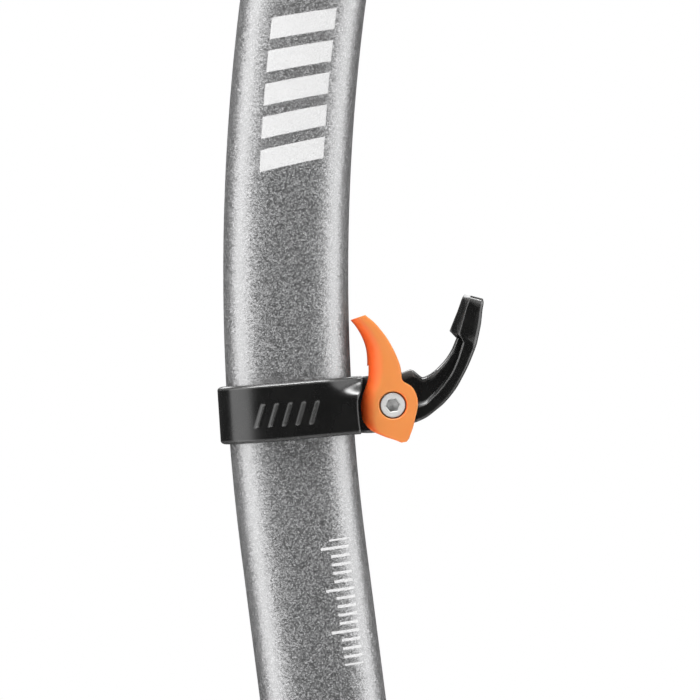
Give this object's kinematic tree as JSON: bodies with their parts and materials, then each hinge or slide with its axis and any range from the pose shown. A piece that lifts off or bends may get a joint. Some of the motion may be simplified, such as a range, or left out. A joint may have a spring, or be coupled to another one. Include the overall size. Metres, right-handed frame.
{
  "type": "ice axe",
  "caption": "Technical ice axe with a curved tubular shaft, bolted pick and adze, rubber grip, spike, and a sliding finger rest with a sprung clamp lever.",
  "frame": {"origin": "middle of the hand grip, on the lower shaft's centreline", "axes": "+Z along the straight lower shaft towards the head, +X to the pick side, Y across the shaft's width"},
  "size_m": [0.2286, 0.054, 0.5361],
  "materials": {
    "shaft_coating": "silver-grey coating with a fine metallic speckle, satin",
    "grip_rubber": "moulded black rubber with a fine raised pattern",
    "black_plastic": "moulded, satin",
    "rest_plastic": "moulded black nylon, semi-gloss",
    "lever_plastic": "moulded orange nylon, satin",
    "screw_steel": "turned stainless steel, satin",
    "forged_steel": "forged and blasted, dull grey",
    "blade_steel": "laser-cut and ground, satin",
    "fastener_steel": "zinc-plated steel"
  },
  "bodies": {
    "axe": {"shaft_tube": "shaft_coating", "grip_sleeve": "grip_rubber", "shaft_end_plug": "black_plastic", "spike": "forged_steel", "upper_spike_rivet": "fastener_steel", "lower_spike_rivet": "fastener_steel", "head_body": "forged_steel", "upper_head_rivet": "fastener_steel", "lower_head_rivet": "fastener_steel", "pick": "blade_steel", "front_pick_bolt": "fastener_steel", "rear_pick_bolt": "fastener_steel", "front_pick_nut": "fastener_steel", "rear_pick_nut": "fastener_steel", "adze": "blade_steel", "front_adze_bolt": "fastener_steel", "rear_adze_bolt": "fastener_steel", "front_adze_nut": "fastener_steel", "rear_adze_nut": "fastener_steel"},
    "finger_rest": {"rest_body": "rest_plastic", "lever_spring": "fastener_steel"},
    "trigger": {"trigger_lever": "lever_plastic", "pivot_screw": "screw_steel", "pivot_nut": "screw_steel", "pivot_sleeve": "fastener_steel", "clamp_cam": "fastener_steel"},
    "brake": {"brake_shoe": "black_plastic"}
  },
  "joints": [
    {"name": "rest_slide", "type": "hinge", "parent": "axe", "child": "finger_rest", "pos_m": [0.514, 0, 0.118], "axis": [0, 1, 0], "range_deg": [-3.6, 16]},
    {"name": "trigger_swing", "type": "hinge", "parent": "finger_rest", "child": "trigger", "pos_m": [0.02553, 0, 0.14879], "axis": [0, 1, 0], "range_deg": [0, 28], "stiffness_Nm_per_rad": 0.02, "springref_deg": -20.05},
    {"name": "brake_slide", "type": "slide", "parent": "finger_rest", "child": "brake", "axis": [0.998, 0, -0.0636], "range_m": [0, 0.0003]}
  ],
  "couplings": [
    {"joint": "brake_slide", "follows": "trigger_swing", "m_per_rad": 0.0006}
  ]
}
